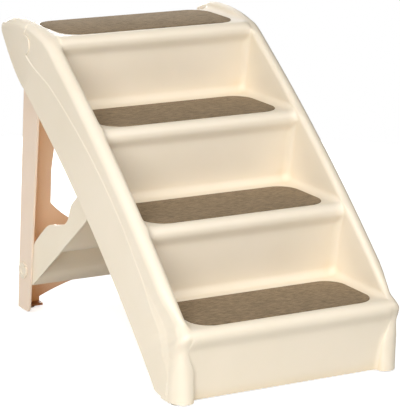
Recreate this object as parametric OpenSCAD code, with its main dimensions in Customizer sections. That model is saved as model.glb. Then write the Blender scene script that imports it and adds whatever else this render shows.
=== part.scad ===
// Folding pet stairs: four carpeted treads in one moulded body, with a rear
// leg frame that folds up under the steps and a brace that holds it open.
// X runs across the stairs, Y from the front to the rear, Z up from the floor.

/* [Steps] */
// Run from one nosing to the next
step_depth = 152; // [140:1:165]
// Rise from one tread to the next
step_rise = 125; // [115:1:135]
// Height of the lowest tread above the floor
first_rise = 122; // [112:1:132]
// Clear width between the inner walls
tread_w = 362; // [340:1:420]
// Radius of the rounded nosing
nose_r = 13; // [10:0.5:15]
// Distance from a nosing back to the top of its riser
riser_head_set = 8; // [6:0.5:10]
// Distance from a nosing back to the foot of its riser
riser_set = 24; // [20:1:26]
// Radius of the cove between a tread and the next riser
cove_r = 12; // [8:1:16]
// Depth of the top tread, nosing to rear edge
top_tread_d = 152; // [148:1:158]
// Depth of the apron that turns down behind the top tread
apron_h = 30; // [20:1:34]
// Wall thickness of the stair body
wall = 3; // [2.5:0.1:3.4]

/* [Side walls] */
// Inner radius of the rail's rounded top
rail_inner_r = 8; // [6.5:0.5:9]
// Outer radius of the rail's rounded top
rail_outer_r = 15; // [14:0.5:17]
// How much the outer wall flares below the rail
wall_flare = 4; // [2:0.5:8]
// How far the rail's ends lie below the nosing line
rail_end_drop = 10; // [6:1:14]
// Rise of the rail's bow above its ends
rail_bow = 14; // [8:1:18]
// Depth of the side wall below the nosing line
side_d = 132; // [128:1:138]
// Rise of the lower rim's bow
rim_bow = 18; // [12:1:20]
// How far the front post stands behind the nosing at the floor
post_set = 6; // [4:0.5:9]
// Length of the side wall's foot on the floor
foot_l = 48; // [42:1:54]
// Rise of the ear above the top tread
ear_rise = 13.5; // [11:0.5:18]
// Distance from the top nosing to the ear's rear tip
ear_reach = 198; // [192:1:206]
// How far the ear draws in towards its tip
ear_narrow = 8; // [3:0.5:9]
// Height of the soft crease on the outer wall
crease_h = 1.2; // [0.4:0.1:2]

/* [Mats] */
// Width of a tread mat
mat_w = 327; // [280:1:330]
// Depth of a tread mat
mat_d = 131; // [100:1:131]
// Corner radius of a mat
mat_r = 35; // [15:1:45]
// Thickness of a mat
mat_t = 2.4; // [2:0.1:3.5]
// Depth of the recess that holds a mat
mat_recess = 1.2; // [0.8:0.1:1.4]
// Gap around a mat in its recess
mat_gap = 0.5; // [0.3:0.1:0.8]
// Distance from the nosing to the mat
mat_set = 15; // [14:0.5:16]

/* [Rear leg] */
// Distance from the top nosing back to the hinge axis
hinge_set = 92; // [88:1:96]
// Drop from the top tread to the hinge axis
hinge_drop = 25; // [24:0.5:28]
// Backward lean of the open leg in degrees
leg_lean = 3.25; // [2.5:0.25:4]
// Outer width of the leg frame beyond the clear width between the walls
leg_over_w = 29; // [28:0.2:29.4]
// Wall thickness of the leg frame and the brace
leg_wall = 3.5; // [3:0.1:3.6]
// Distance from the hinge axis back to the leg's rear face
leg_back = 22.6; // [22:0.2:25]
// Depth of the leg's side flange at the foot
leg_foot_d = 48; // [44:1:54]
// Depth of the leg's side flange at its widest
leg_wide_d = 61; // [56:1:64]
// Distance from the hinge axis down to the flange's widest place
leg_wide_at = 118; // [105:1:130]
// Radius of the leg's rounded head at the hinge
leg_head_r = 21; // [19:0.5:21.5]
// Outer corner radius of the leg channel
leg_corner_r = 7; // [5:0.5:8]
// Height of the back panel above the floor
panel_top = 336; // [320:1:338]
// Height of the window's top edge above the floor
window_top = 296; // [280:1:300]
// Height of the window's lowest point above the floor
window_low = 121; // [110:1:130]
// Radius of the window's curved lower edge
window_r = 185; // [170:1:220]
// Width of the window
window_w = 276; // [240:1:290]
// Height of the arch between the feet
arch_h = 47; // [40:1:54]
// Radius of the arch between the feet
arch_r = 377; // [340:1:420]
// Width of each foot
foot_w = 41; // [36:1:46]
// Depth of each foot's sole, from the leg's rear face forwards
sole_d = 18; // [17:0.5:22]
// Radius of the flange's front corner at the floor
foot_r = 11; // [8:1:14]

/* [Brace] */
// Distance from the hinge axis down the leg to the brace's pivot
brace_at = 400; // [398:0.5:402]
// Turn of the brace's arms above the line from its pivot to its lips in degrees
brace_tilt = 2.057; // [1.957:0.05:2.257]
// Reach of the brace's tips past its lips
brace_over = 1.63; // [1.43:0.1:1.83]
// Distance from the pivot to the brace's lower edge
brace_drop = 33; // [30:0.5:34]
// Radius of the brace's rounded end at its pivot
brace_end_r = 15; // [12:0.5:16]
// Radius of the stop that the brace's tip rests on
stop_r = 3.5; // [3:0.25:4]

/* [Pins and feet] */
// Radius of the hinge pin
pin_r = 6; // [5:0.25:7]
// Radius of the hinge pin's cap
pin_cap_r = 17; // [14:0.5:17]
// Thickness of the hinge pin's cap
pin_cap_t = 2.4; // [2:0.1:2.6]
// Radius of the brace pin
brace_pin_r = 5; // [4:0.25:5.5]
// Radius of the brace pin's head
brace_head_r = 14; // [11:0.5:14]
// Thickness of the brace pin's head
brace_head_t = 2.5; // [2:0.1:3]
// Radial clearance of a pin in its bore
pin_fit = 0.08; // [0.05:0.01:0.1]
// Gap between faces that slide past each other
run_gap = 0.4; // [0.35:0.05:0.45]
// Height of a rubber foot
pad_t = 3; // [2:0.25:4]
// Radius of a rubber foot
pad_r = 8; // [6:0.5:8.5]
// Radius of the stem that holds a rubber foot
stem_r = 3; // [2:0.25:3.5]

/* [Hidden] */
$fn = 64;

step_count = 4;
// Overrun of every cut past the faces that it goes through
cut = 10;
cream = "#e7dccb";
leg_cream = "#e4d2c3";
mat_brown = "#988a7a";
clip_grey = "#3a3835";
rubber_beige = "#a39a8a";

pitch = atan(step_rise / step_depth);
overall_d = (step_count - 1) * step_depth + ear_reach;
front_y = -overall_d / 2;
base_z = pad_t;
tread_half = tread_w / 2;
crest_x = tread_half + rail_inner_r;
rim_x = crest_x + rail_outer_r + wall_flare;
top_z = first_rise + (step_count - 1) * step_rise;
top_nose_y = front_y + (step_count - 1) * step_depth;
hinge_y = top_nose_y + hinge_set;
hinge_z = top_z - hinge_drop;
// How far thin plates are let into the skins that they join
let_in = 0.2;
// Share of a small size at which the skin has its full depth again
fade_rate = 4;

function nose_y(k) = front_y + (k - 1) * step_depth;
function tread_z(k) = first_rise + (k - 1) * step_rise;
// A point u steps up the nosing line and n out from it
function pitch_pt(u, n) = [front_y + u * step_depth - n * sin(pitch),
    first_rise + u * step_rise + n * cos(pitch)];
// A parabola that is 0 at both ends of the nosing line and 1 in its middle
function bow(u) = 4 * (u / (step_count - 1)) * (1 - u / (step_count - 1));
function rail_pt(u) = pitch_pt(u, rail_bow * bow(u) - rail_end_drop);
function rim_pt(u) = pitch_pt(u, rim_bow * bow(u) - side_d);
function bezier(a, b, c, v) = (1 - v) * (1 - v) * a + 2 * v * (1 - v) * b + v * v * c;
function unit(v) = v / norm(v);
function mid(a, b) = (a + b) / 2;
// A smooth line guided by the points g, from the first one to the last
curve_steps = 4;
function smooth(g) = let (e = len(g) - 1)
    concat([g[0]], [for (i = [1 : e - 1]) for (s = [i == 1 ? 0 : 1 : curve_steps])
        bezier(mid(g[i - 1], g[i]), g[i], mid(g[i], g[i + 1]), s / curve_steps)], [g[e]]);
// A line of points moved sideways by t, to the left of its way
function left_of(a, b) = unit([a[1] - b[1], b[0] - a[0]]);
function moved(g, t) = let (e = len(g) - 1) [for (i = [0 : e])
    let (m = left_of(g[max(0, i - 1)], g[max(1, i)]), n = left_of(g[min(e - 1, i)], g[min(e, i + 1)]),
        h = unit(m + n)) g[i] + h * t / (h * m)];
function reversed(g) = [for (i = [len(g) - 1 : -1 : 0]) g[i]];

// Ear: two arcs over the top and a bent rim up to the tip
ear_tip_y = front_y + overall_d;
ear_top_z = top_z + ear_rise;
// Its places as shares: peak, crown and control points of its reach, fall of
// the crown of its rise, the rim's of the side's depth
ear_peak_share = 0.385;
ear_crown_share = 0.01;
ear_fall_share = 0.78;
ear_ctrl_shares = [0.24, 0.18];
ear_rim_b_shares = [0.485, 0.74];
ear_rim_c_share = 0.215;
ear_peak = [ear_tip_y - ear_reach * ear_peak_share, ear_top_z];
ear_crown = [ear_tip_y - ear_reach * ear_crown_share, ear_top_z - ear_rise * ear_fall_share];
ear_start = rail_pt(step_count - 1);
ear_front_ctrl = [ear_start[0] + ear_reach * ear_ctrl_shares[0], ear_top_z];
ear_rear_ctrl = [ear_tip_y - ear_reach * ear_ctrl_shares[1], ear_top_z];
ear_front_shares = [0, 0.25, 0.5, 0.75];
ear_rear_shares = [0, 0.35, 0.65, 0.88, 1];
ear_crest = concat([for (v = ear_front_shares) bezier(ear_start, ear_front_ctrl, ear_peak, v)],
    [for (v = ear_rear_shares) bezier(ear_peak, ear_rear_ctrl, ear_crown, v)]);
ear_rim_shares = [0, 0.13, 0.26, 0.39, 0.52, 0.66, 0.79, 0.92, 1];
ear_rim_a = rim_pt(step_count - 1);
ear_rim_b = [ear_tip_y - side_d * ear_rim_b_shares[0], ear_top_z - side_d * ear_rim_b_shares[1]];
ear_rim_c = [ear_tip_y, ear_top_z - side_d * ear_rim_c_share];

// Front post: set back from the nosing, and drop below the first tread, as
// shares of the first rise
post_shares = [[0.033, 0.24], [0.004, 0.14], [0, 0.08], [0.016, 0], [0.075, -0.075], [0.17, -0.135]];
post_rim_u = [0.03, 0.08, 0.14, 0.2, 0.26, 0.33];
post_foot = [front_y + post_set, base_z];
rim_foot = [front_y + post_set + foot_l, base_z];

// Stations of the side wall: a point on the crest, its mate on the rim, the
// share of the ear's narrowing and the stretch of the rail's rounding there
post_stretch = 1.75;
sole_taper_share = 0.4;
post_stations = concat(
    [[post_foot, rim_foot, 0, post_stretch],
        [post_foot + [0, wall], rim_foot + [-wall * sole_taper_share, wall], 0, post_stretch]],
    [for (i = [0 : len(post_shares) - 1])
        [[front_y + post_shares[i][0] * first_rise, first_rise - post_shares[i][1] * first_rise],
            rim_pt(post_rim_u[i] * (step_count - 1) / 3), 0,
            1 + (post_stretch - 1) * (1 - i / len(post_shares))]]);
rail_shares = [0.085, 0.16, 0.28, 0.4, 0.53, 0.66, 0.78, 0.9];
rim_shares = [0.14, 0.2, 0.3, 0.41, 0.53, 0.66, 0.78, 0.9];
rail_stations = [for (i = [0 : len(rail_shares) - 1])
    [rail_pt(rail_shares[i] * (step_count - 1)), rim_pt(rim_shares[i] * (step_count - 1)), 0, 1]];
ear_stations = [for (i = [0 : len(ear_crest) - 1])
    [ear_crest[i], bezier(ear_rim_a, ear_rim_b, ear_rim_c, ear_rim_shares[i]), ear_rim_shares[i], 1]];
stations = concat(post_stations, rail_stations, ear_stations);
station_count = len(stations);

// How far down the outer wall the soft crease runs, as a share of its depth:
// the least share, its growth to the ends, where it is least and the power
crease_shares = [0.3, 0.5, 0.9, 2.2];
crease_limit_share = 0.9;
function crease_share(i) = crease_shares[0] + crease_shares[1]
    * pow(abs(2 * i / (station_count - 1) - crease_shares[2]), crease_shares[3]);

arc_steps = 4;
// Straight length of the inner skin below the rail's rounding
lap = 6;
// Share of the ear's narrowing that the outer rounding takes
round_narrow_share = 0.6;
// Section of the side wall at one station, from the inner wall over the rail
// to the rim: distance from the middle and distance down from the crest
function section(i, t) =
    let (depth = norm(stations[i][1] - stations[i][0]),
        narrow = ear_narrow * stations[i][2],
        rim = rim_x - narrow,
        fall = min(1, depth / side_d * fade_rate),
        inner = rail_inner_r - t,
        outer = rail_outer_r - narrow * round_narrow_share - t,
        fall_in = rail_inner_r * fall,
        fall_out = rail_outer_r * fall * stations[i][3],
        shoulder = crest_x + outer,
        share = min(crease_limit_share, crease_share(i)),
        crease_d = fall_out + share * (depth - fall_out),
        swell = crease_h * min(1, max(0, (depth - fall_out) / side_d * fade_rate / 2)))
    concat(
        [[crest_x - inner, fall_in + lap * fall]],
        [for (a = [0 : arc_steps]) [crest_x - inner * cos(90 * a / arc_steps),
            fall_in - (fall_in - t) * sin(90 * a / arc_steps)]],
        [for (a = [1 : arc_steps]) [crest_x + outer * sin(90 * a / arc_steps),
            fall_out - (fall_out - t) * cos(90 * a / arc_steps)]],
        [[shoulder + share * (rim - t - shoulder) + swell, crease_d],
            [rim - t, depth]]);
function place(i, p) =
    let (c = stations[i][0], m = unit(stations[i][1] - c))
    [p[0], c[0] + m[0] * p[1], c[1] + m[1] * p[1]];

// The side wall's skin. The outer loft runs over all stations; the lining
// stops a station short at each end, which closes the sole and the ear's tip
module side_skin() {
    n = len(section(0, 0));
    last = station_count - 1;
    outer_pts = [for (i = [0 : last]) for (p = section(i, 0)) place(i, p)];
    inner_pts = [for (i = [1 : last - 1]) for (p = section(i, wall)) place(i, p)];
    q0 = len(outer_pts) - n;
    e = n - 1;
    skin = [for (i = [0 : last - 1]) for (j = [0 : n - 2])
        each [[i * n + j, (i + 1) * n + j, (i + 1) * n + j + 1],
            [i * n + j, (i + 1) * n + j + 1, i * n + j + 1]]];
    lining = [for (i = [1 : last - 2]) for (j = [0 : n - 2])
        each [[q0 + i * n + j, q0 + (i + 1) * n + j + 1, q0 + (i + 1) * n + j],
            [q0 + i * n + j, q0 + i * n + j + 1, q0 + (i + 1) * n + j + 1]]];
    edges = [for (i = [1 : last - 2])
        each [[i * n, q0 + (i + 1) * n, (i + 1) * n],
            [i * n, q0 + i * n, q0 + (i + 1) * n],
            [i * n + e, (i + 1) * n + e, q0 + (i + 1) * n + e],
            [i * n + e, q0 + (i + 1) * n + e, q0 + i * n + e]]];
    // Solid sole between the first two stations
    sole = [[for (j = [0 : e]) j],
        [for (j = [e : -1 : 0]) q0 + n + j],
        [0, q0 + n, n],
        [0, e, q0 + n + e],
        [0, q0 + n + e, q0 + n],
        [e, n + e, q0 + n + e]];
    // Solid tip between the last two
    z0 = last * n;
    y0 = (last - 1) * n;
    r0 = q0 + (last - 1) * n;
    tip = [[for (j = [e : -1 : 0]) z0 + j],
        [for (j = [0 : e]) r0 + j],
        [z0, y0, r0],
        [z0, r0 + e, z0 + e],
        [z0, r0, r0 + e],
        [z0 + e, r0 + e, y0 + e]];
    polyhedron(points = concat(outer_pts, inner_pts),
        faces = concat(skin, lining, edges, sole, tip));
}

// Extrudes a shape drawn in the Y-Z plane along X
module side_on(from_x, to_x) {
    translate([from_x, 0, 0]) rotate([90, 0, 90]) linear_extrude(to_x - from_x) children();
}

// A cylinder along X
module peg(from_x, to_x, y, z, r) {
    translate([from_x, y, z]) rotate([0, 90, 0]) cylinder(h = to_x - from_x, r = r);
}

module both_sides() {
    children();
    mirror([1, 0, 0]) children();
}

// A straight wall from a to b, its thickness t to the right of that way
module bar(a, b, t) {
    s = unit(b - a);
    side = [s[1], -s[0]] * t;
    polygon([a, b, b + side, a + side]);
}

// A quarter of a ring, turned by whole quarters
module quarter(c, r, t, turn) {
    translate(c) rotate(90 * turn) intersection() {
        difference() {
            circle(r);
            circle(r - t);
        }
        square(r);
    }
}

// The foot of a riser is where its front face meets the tread below
function riser_foot(k) = [nose_y(k) + riser_set, k == 1 ? base_z : tread_z(k - 1)];
nose_low = nose_r + sqrt(nose_r * nose_r - (nose_r - riser_head_set) * (nose_r - riser_head_set));
function riser_head(k) = [nose_y(k) + riser_head_set, tread_z(k) - nose_low];

// Profile of one step, nosing to the next riser
module step_profile(k, end_y) {
    c = [nose_y(k) + nose_r, tread_z(k) - nose_r];
    quarter(c, nose_r, wall, 1);
    // Lower part of the nosing, down to the riser
    intersection() {
        difference() {
            translate(c) circle(nose_r);
            translate(c) circle(nose_r - wall);
        }
        translate([nose_y(k) - let_in, tread_z(k) - nose_low - wall])
            square([riser_head_set + wall, nose_low - nose_r + wall + let_in]);
    }
    translate([c[0] - let_in, tread_z(k) - wall]) square([end_y - c[0] + let_in, wall]);
    bar(riser_head(k), riser_foot(k) - [0, k == 1 ? 0 : wall], -wall);
}

// Corner below riser k: a cove on top, the same wall rounded underneath
riser_lean = atan((riser_set - riser_head_set) / (step_rise - nose_low));
function cove_c(k) = riser_foot(k) + [-cove_r / tan(45 - riser_lean / 2), cove_r];
module cove_sector(k) {
    reach = cove_r + wall + cut;
    translate(cove_c(k)) polygon([[0, 0], [0, -reach], [reach, -reach], [reach, reach * tan(riser_lean)]]);
}
module cove(k) {
    intersection() {
        cove_sector(k);
        translate(cove_c(k)) difference() {
            circle(cove_r + wall);
            circle(cove_r);
        }
    }
}
module corner_cut(k) {
    difference() {
        cove_sector(k);
        translate(cove_c(k)) circle(cove_r + wall);
    }
}

apron_share = 0.6;
apron_r = nose_r * apron_share;
module steps_profile() {
    difference() {
        union() {
            for (k = [1 : step_count - 1]) step_profile(k, nose_y(k + 1) + riser_set + wall);
            step_profile(step_count, top_nose_y + top_tread_d - apron_r + let_in);
        }
        for (k = [2 : step_count]) corner_cut(k);
    }
    for (k = [2 : step_count]) cove(k);
    apron_c = [top_nose_y + top_tread_d - apron_r, top_z - apron_r];
    quarter(apron_c, apron_r, wall, 0);
    translate([apron_c[0] + apron_r - wall, top_z - apron_h]) square([wall, apron_h - apron_r + let_in]);
}

// Upright plate that closes each side of the steps, from the rail down to them
plate_inset = rail_inner_r + lap / 2;
// Depth of the plate's tail below the top tread, as a share of the apron
tail_share = 1.6;
function plate_pt(i) = place(i, [0, plate_inset * min(1, norm(stations[i][1] - stations[i][0]) / side_d * fade_rate)]);
plate_end = station_count - 2;
module plate_profile() {
    upper = [for (i = [1 : plate_end]) let (p = plate_pt(i)) [p[1], p[2]]];
    tail = [[top_nose_y + top_tread_d, top_z - apron_h], [top_nose_y + riser_set + wall, top_z - apron_h * tail_share]];
    under = [for (k = [step_count : -1 : 2])
        each [[nose_y(k) + riser_set + wall, tread_z(k - 1) - wall],
            [nose_y(k - 1) + riser_set + wall, tread_z(k - 1) - wall]]];
    difference() {
        polygon(concat(upper, tail, under, [[nose_y(1) + riser_set + wall, base_z + wall]]));
        for (k = [2 : step_count]) corner_cut(k);
    }
}

module rounded(w, d, r) {
    translate([-w / 2, r]) square([w, d - 2 * r]);
    translate([-w / 2 + r, 0]) square([w - 2 * r, d]);
    for (x = [-1, 1]) for (y = [r, d - r]) translate([x * (w / 2 - r), y]) circle(r);
}

// Places a mat's outline on tread k, spread by g all round
module mat_shape(k, g, z0, h) {
    translate([0, nose_y(k) + mat_set - g, tread_z(k) + z0])
        linear_extrude(h) rounded(mat_w + 2 * g, mat_d + 2 * g, mat_r + g);
}

// Pivot of the brace in the open pose
pivot_y = hinge_y + brace_at * sin(leg_lean);
pivot_z = hinge_z - brace_at * cos(leg_lean);
leg_x = tread_half + leg_over_w / 2;
arm_x = leg_x - leg_wall - run_gap;
lip_share = 1.6;
lip_x = tread_half + wall * lip_share;

// Stop under the brace's tip, tucked into the corner below riser 3
stop_sink_share = 1.4;
stop_angle = 40;
stop_off = cove_r + wall - stop_r * stop_sink_share;
stop_y = cove_c(3)[0] + stop_off * cos(stop_angle);
stop_z = cove_c(3)[1] - stop_off * sin(stop_angle);

// The stop's place seen from the pivot, forwards and up, and the lip's above it
stop_from = [pivot_y - stop_y, stop_z - pivot_z];
lip_from = stop_from + [0, 2 * stop_r + run_gap];
brace_rise = atan2(lip_from[1], lip_from[0]) + brace_tilt;
brace_l = norm(lip_from) * cos(brace_tilt) + brace_over;
lip_at = [norm(lip_from) * cos(brace_tilt), -norm(lip_from) * sin(brace_tilt)];

boss_r = pin_cap_r + wall;
// Place of the hinge cap below the wall's flare, and of the front feet in the
// posts' soles, as shares
cap_sink_share = 0.75;
pad_shares = [0.4, 0.48];
cap_x = rim_x - wall_flare * cap_sink_share - pin_cap_t;
front_pad_x = crest_x + rail_outer_r * pad_shares[0];
front_pad_y = front_y + post_set + foot_l * pad_shares[1];

module stair_body() color(cream) difference() {
    union() {
        both_sides() {
            side_skin();
            side_on(tread_half + let_in, tread_half + wall - let_in) plate_profile();
            // Outer hinge boss and its backing behind the plate
            peg(leg_x + run_gap, cap_x + let_in, hinge_y, hinge_z, boss_r);
            peg(tread_half + let_in, arm_x, hinge_y, hinge_z, pin_r + wall);
            peg(tread_half + let_in, arm_x - leg_wall - run_gap, stop_y, stop_z, stop_r);
        }
        side_on(-tread_half - wall / 2, tread_half + wall / 2) steps_profile();
    }
    for (k = [1 : step_count]) mat_shape(k, mat_gap, -mat_recess, cut);
    both_sides() {
        peg(tread_half - cut, rim_x + cut, hinge_y, hinge_z, pin_r + pin_fit);
        peg(cap_x, rim_x + cut, hinge_y, hinge_z, pin_cap_r + run_gap);
        translate([front_pad_x, front_pad_y, base_z - cut]) cylinder(h = 2 * cut, r = stem_r);
    }
}

module tread_mat(k) color(mat_brown) mat_shape(k, 0, -mat_recess, mat_t);

// Side profile of the leg's flange, hinge at the origin, foot below the floor
leg_l = hinge_z / cos(leg_lean);
foot_c = [leg_back - leg_foot_d + foot_r, -leg_l + base_z + foot_r];
// Angles of the head's arc: start, step and end; and where it meets the back
head_arc = [205, -10, -15];
head_share = 0.6;
module flange_profile() {
    polygon(concat([for (a = [head_arc[0] : head_arc[1] : head_arc[2]]) leg_head_r * [cos(a), sin(a)]],
        [[leg_back, -leg_head_r * head_share], [leg_back, -leg_l - cut], [foot_c[0], -leg_l - cut]],
        [for (a = [270 : -15 : 180]) foot_c + foot_r * [cos(a), sin(a)]],
        [[leg_back - leg_wide_d, -leg_wide_at]]));
}

// Plan of the leg's channel
module channel_plan(x, back, r) {
    translate([-x, -leg_wide_d]) square([2 * x, leg_wide_d + back - r]);
    translate([-x + r, 0]) square([2 * (x - r), back]);
    for (s = [-1, 1]) translate([s * (x - r), back - r]) circle(r);
}

// Heights below the hinge, along the leg
function down(z) = -(hinge_z - z) / cos(leg_lean);
window_side_share = 0.95;
// Facets of the large arcs
fine_fn = 128;
module window_shape() {
    low_z = down(window_low);
    corner_z = low_z + window_r - sqrt(window_r * window_r - window_w * window_w / 4);
    intersection() {
        translate([-window_w / 2, low_z]) square([window_w, down(window_top) - low_z]);
        union() {
            translate([0, low_z + window_r]) circle(window_r, $fn = fine_fn);
            translate([-window_w / 2, low_z + window_r]) square([window_w, window_r]);
        }
        polygon([[-window_w / 2, low_z - cut], [window_w / 2, low_z - cut],
            [window_w / 2, corner_z + leg_wide_d], [window_w / 2 * window_side_share, down(window_top) + cut],
            [-window_w / 2 * window_side_share, down(window_top) + cut], [-window_w / 2, corner_z + leg_wide_d]]);
    }
}

module arch_shape() {
    half = leg_x - foot_w;
    intersection() {
        translate([0, down(arch_h) - arch_r]) circle(arch_r, $fn = 2 * fine_fn);
        translate([-half, -leg_l - cut]) square([2 * half, leg_l + cut]);
    }
}

// Sets a shape drawn in the leg's X-Z plane through the back panel
module through_panel() {
    translate([0, leg_back + cut, 0]) rotate([90, 0, 0]) linear_extrude(leg_wall * 2 + cut) children();
}

rear_pad_x = leg_x - foot_w / 2;
rear_pad_y = hinge_y + hinge_z * tan(leg_lean) + leg_back - sole_d / 2;

module rear_leg() color(leg_cream) difference() {
    translate([0, hinge_y, hinge_z]) rotate([leg_lean, 0, 0]) difference() {
        intersection() {
            side_on(-leg_x, leg_x) flange_profile();
            translate([0, 0, -leg_l - cut]) linear_extrude(leg_l + 2 * cut + leg_head_r)
                channel_plan(leg_x, leg_back, leg_corner_r);
        }
        difference() {
            translate([0, 0, -leg_l]) linear_extrude(leg_l + 2 * cut + leg_head_r)
                channel_plan(leg_x - leg_wall, leg_back - leg_wall, leg_corner_r - leg_wall);
            // Sole of each foot
            both_sides() translate([leg_x - foot_w, leg_back - sole_d, -leg_l - cut])
                cube([foot_w, sole_d, base_z + leg_wall + cut]);
        }
        // The flanges alone go on above the panel
        translate([-leg_x + leg_wall, -leg_wide_d, down(panel_top)])
            cube([2 * (leg_x - leg_wall), 2 * leg_wide_d, leg_l]);
        through_panel() window_shape();
        through_panel() arch_shape();
        both_sides() {
            peg(leg_x - leg_wall - cut, leg_x + cut, 0, 0, pin_r + pin_fit);
            peg(leg_x - leg_wall - cut, leg_x + cut, 0, -brace_at, brace_pin_r);
        }
    }
    translate([-rim_x, front_y, base_z - 2 * cut]) cube([2 * rim_x, overall_d, 2 * cut]);
    both_sides() translate([rear_pad_x, rear_pad_y, base_z - cut]) cylinder(h = 2 * cut, r = stem_r);
}

// Turns the X-Y plane of a drawing into the brace's own plane: first number
// along the arm from the pivot, second square to it and upwards
module brace_frame() {
    translate([0, pivot_y, pivot_z]) rotate([-brace_rise, 0, 0]) mirror([0, 1, 0]) children();
}

// Upper outline of an arm: shares of the brace's length and drop, then its
// tip round the lip, in shares of the stop's radius
arm_guides = [[0.05, 0.44], [0.2, 0.69], [0.345, 0.75], [0.43, 0.72], [0.52, 0.27], [0.625, -0.18], [0.69, 0.1],
    [0.74, 0.4], [0.82, 0.4], [0.99, 0.44]];
tip_shares = [[0.47, 1.31], [-3.1, -1.9]];
// Its lower edge, and the corner beside the round end, in the same shares
arm_low_shares = [0.85, 0.03];
arm_end_shares = [0.75, 0.66];
module arm_profile() {
    circle(brace_end_r);
    polygon(concat([[0, 0], [0, brace_end_r]],
        smooth(concat([for (g = arm_guides) [g[0] * brace_l, g[1] * brace_drop]],
            [for (g = tip_shares) lip_at + stop_r * g])),
        [[brace_l * arm_low_shares[0], -brace_drop], [brace_l * arm_low_shares[1], -brace_drop],
            -brace_end_r * arm_end_shares]));
}

// Path of the web between the arms: shares of the brace's length and drop
web_guides = [[0.03, -1], [0.15, -1.06], [0.195, -0.3], [0.25, 0.44], [0.29, 0.44], [0.36, -0.3], [0.44, -1],
    [0.53, -1], [0.75, 0.2]];
module web_profile() {
    path = smooth([for (g = web_guides) [g[0] * brace_l, g[1] * brace_drop]]);
    polygon(concat(path, reversed(moved(path, leg_wall))));
}

module brace() color(cream) brace_frame() difference() {
    union() {
        both_sides() {
            side_on(arm_x - leg_wall, arm_x) arm_profile();
            peg(lip_x, arm_x - leg_wall / 2, lip_at[0], lip_at[1], stop_r);
        }
        side_on(-arm_x + leg_wall / 2, arm_x - leg_wall / 2) web_profile();
    }
    both_sides() peg(arm_x - leg_wall - cut, arm_x + cut, 0, 0, brace_pin_r + pin_fit);
}

// Clip that keeps the hinge pin: thickness, width of its ring, depth of the
// pin's groove and half the clip's mouth as a share of the groove's radius
clip_t = 1.4;
clip_wall = 4;
groove_d = 1.2;
mouth_share = 0.8;
pin_end_x = tread_half - 2 * clip_t;

module hinge_pin() color(cream) difference() {
    union() {
        peg(cap_x, cap_x + pin_cap_t, hinge_y, hinge_z, pin_cap_r);
        peg(pin_end_x, cap_x + let_in, hinge_y, hinge_z, pin_r);
    }
    difference() {
        peg(tread_half - clip_t - pin_fit, tread_half - pin_fit, hinge_y, hinge_z, pin_r + cut);
        peg(pin_end_x, tread_half + cut, hinge_y, hinge_z, pin_r - groove_d);
    }
}

module hinge_clip() color(clip_grey) difference() {
    peg(tread_half - clip_t - pin_fit, tread_half - pin_fit, hinge_y, hinge_z, pin_r + clip_wall);
    peg(tread_half - clip_t - cut, tread_half + cut, hinge_y, hinge_z, pin_r - groove_d + pin_fit);
    // Mouth of the clip
    mouth = (pin_r - groove_d) * mouth_share;
    translate([tread_half - cut, hinge_y - mouth, hinge_z - pin_r - cut]) cube([2 * cut, 2 * mouth, pin_r + cut]);
}

// Snap head of the brace pin: width and turns of its slots, where they begin,
// the dish in its middle, and how deep both start in the head
slot_w = 2.4;
slot_turns = [45, 135, 225, 315];
slot_from_share = 0.62;
dish_share = 0.5;
head_depth_shares = [0.4, 0.6];
module brace_pin() color(cream) translate([0, pivot_y, pivot_z]) difference() {
    union() {
        peg(leg_x, leg_x + brace_head_t, 0, 0, brace_head_r);
        peg(arm_x - leg_wall - run_gap - brace_head_t, leg_x + let_in, 0, 0, brace_pin_r);
        peg(arm_x - leg_wall - run_gap - brace_head_t, arm_x - leg_wall - run_gap, 0, 0, brace_pin_r + leg_wall / 2);
    }
    // Slots of the snap head, and its dished middle
    for (turn = slot_turns) rotate([turn, 0, 0])
        translate([leg_x + brace_head_t * head_depth_shares[0], brace_head_r * slot_from_share, -slot_w / 2])
            cube([cut, brace_head_r, slot_w]);
    peg(leg_x + brace_head_t * head_depth_shares[1], leg_x + cut, 0, 0, brace_head_r * dish_share);
}

module pad(x, y) color(rubber_beige) translate([x, y, 0]) {
    cylinder(h = pad_t, r = pad_r);
    cylinder(h = base_z + wall, r = stem_r);
}

stair_body();
tread_mat(1);  // tread_mat_1
tread_mat(2);  // tread_mat_2
tread_mat(3);  // tread_mat_3
tread_mat(4);  // tread_mat_4
rear_leg();
brace();
mirror([1, 0, 0]) hinge_pin();  // hinge_pin_left
hinge_pin();  // hinge_pin_right
mirror([1, 0, 0]) hinge_clip();  // hinge_clip_left
hinge_clip();  // hinge_clip_right
mirror([1, 0, 0]) brace_pin();  // brace_pin_left
brace_pin();  // brace_pin_right
pad(-front_pad_x, front_pad_y);  // front_foot_left
pad(front_pad_x, front_pad_y);  // front_foot_right
pad(-rear_pad_x, rear_pad_y);  // rear_foot_left
pad(rear_pad_x, rear_pad_y);  // rear_foot_right
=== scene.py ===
import math

import bmesh
import bpy
from mathutils import Matrix, Vector


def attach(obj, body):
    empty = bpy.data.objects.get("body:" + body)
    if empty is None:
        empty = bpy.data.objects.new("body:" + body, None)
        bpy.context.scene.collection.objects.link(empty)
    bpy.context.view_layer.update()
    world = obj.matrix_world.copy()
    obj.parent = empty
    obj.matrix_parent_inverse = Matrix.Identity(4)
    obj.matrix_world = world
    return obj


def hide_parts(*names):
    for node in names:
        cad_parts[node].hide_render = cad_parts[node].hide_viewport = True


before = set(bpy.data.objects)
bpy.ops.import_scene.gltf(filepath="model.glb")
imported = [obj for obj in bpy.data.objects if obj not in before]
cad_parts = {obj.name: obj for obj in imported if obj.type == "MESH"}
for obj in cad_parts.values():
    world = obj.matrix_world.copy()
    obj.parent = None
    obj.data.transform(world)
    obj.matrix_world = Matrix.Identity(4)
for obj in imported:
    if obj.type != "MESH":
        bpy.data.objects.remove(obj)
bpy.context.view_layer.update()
print("frame loaded")

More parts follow.
